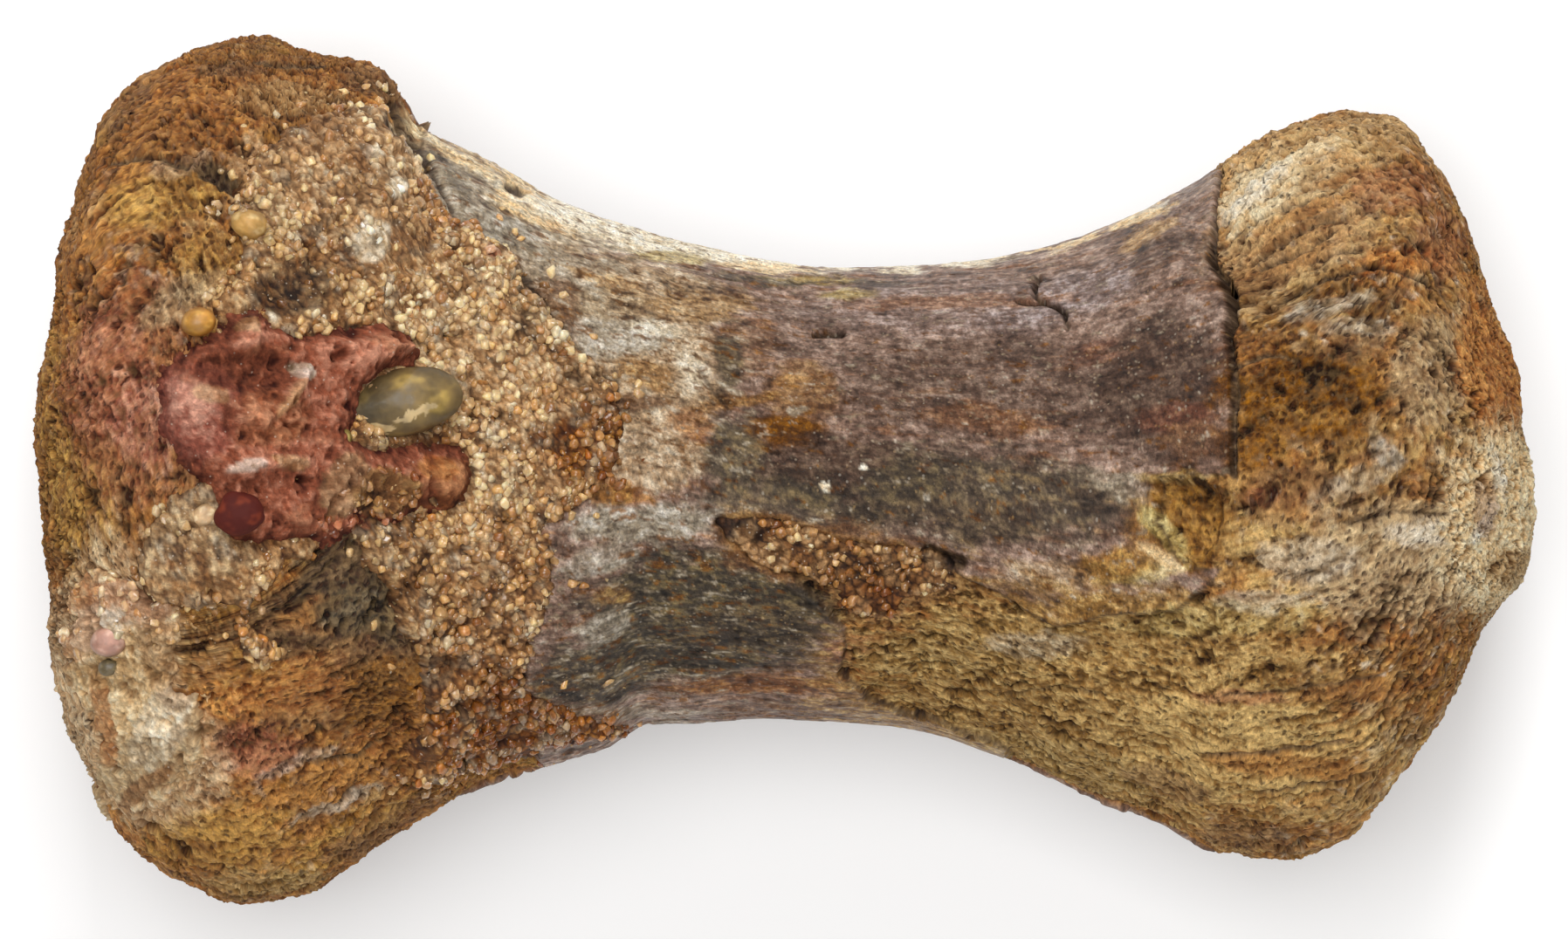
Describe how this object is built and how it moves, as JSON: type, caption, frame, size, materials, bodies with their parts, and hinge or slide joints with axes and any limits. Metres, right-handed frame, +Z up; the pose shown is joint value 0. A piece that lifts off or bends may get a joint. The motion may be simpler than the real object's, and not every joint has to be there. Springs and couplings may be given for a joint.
{
  "type": "fossil limb bone with sediment",
  "caption": "Fossil limb bone with a wide end, waisted shaft and narrower end, lying flat, with sandstone, red clay and pebbles still cemented to it.",
  "frame": {"origin": "on the surface that the bone rests on, under the middle of its length and width", "axes": "+X along the shaft from the wide end to the narrow end, +Y to the upper edge of the broad face, +Z up, out of the broad face that carries the sediment"},
  "size_m": [0.0797, 0.0462, 0.0354],
  "materials": {
    "fossil_bone": "mineralised bone: smooth dark brown outer layer, rough orange-brown spongy bone where it flaked",
    "sandstone": "coarse beige quartz sand, cemented, slightly translucent grains",
    "limy_crust": "pale cream and pink fine crust, matte",
    "red_clay": "dull brick-red dried clay",
    "olive_quartz": "translucent olive quartz, worn smooth",
    "amber_quartz": "translucent yellow quartz",
    "brown_clay": "dark red-brown clay pebble, dull",
    "pink_quartz": "flat pink quartz, worn smooth"
  },
  "bodies": {
    "root": {"bone": "fossil_bone", "sandstone_crust": "sandstone", "pale_crust": "limy_crust", "fissure_sand": "sandstone", "red_clay_lump": "red_clay", "olive_pebble": "olive_quartz", "amber_pebble": "amber_quartz", "brown_pebble": "brown_clay", "pink_pebble": "pink_quartz"}
  },
  "joints": []
}
